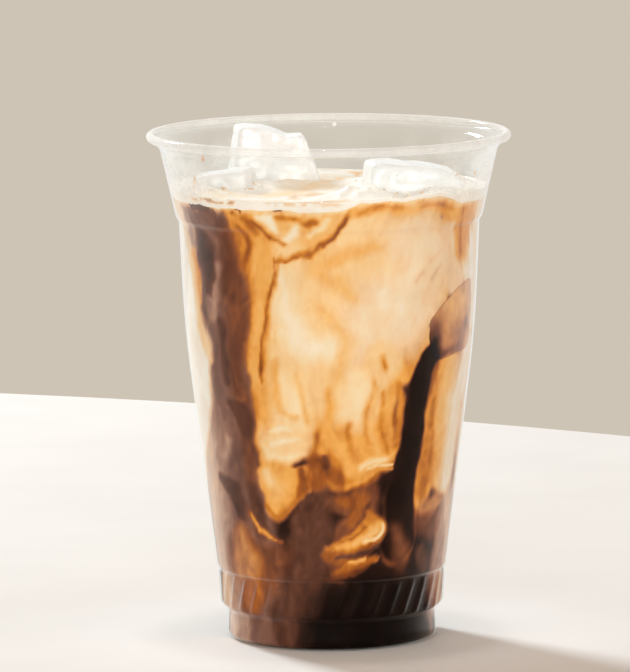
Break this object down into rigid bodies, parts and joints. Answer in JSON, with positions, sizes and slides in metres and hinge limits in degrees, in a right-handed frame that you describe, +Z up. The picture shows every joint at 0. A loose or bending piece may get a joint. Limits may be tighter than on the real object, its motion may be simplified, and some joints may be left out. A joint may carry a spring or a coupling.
{
  "type": "iced milk coffee in a clear plastic cup",
  "caption": "Clear disposable cold cup, flared and ribbed at the foot, full of dark coffee with milk sinking through it in clouds and ice blocks at the surface.",
  "frame": {"origin": "centre of the ring that the cup stands on, on the table's plane", "axes": "+Z up along the cup's axis, -Y towards the front, where most of the milk sinks, +X to the right as seen from the front"},
  "size_m": [0.098, 0.098, 0.137],
  "materials": {
    "clear_plastic": "clear, glossy, thin blown sheet",
    "coffee": "dark liquid behind the cup's wall",
    "milk": "cream to orange clouds with brown edges",
    "ice": "frosty white, wet"
  },
  "bodies": {
    "root": {"cup": "clear_plastic", "coffee": "coffee", "milk": "milk", "ice_tall": "ice", "ice_left": "ice", "ice_front_right": "ice", "ice_back_right": "ice"}
  },
  "joints": []
}
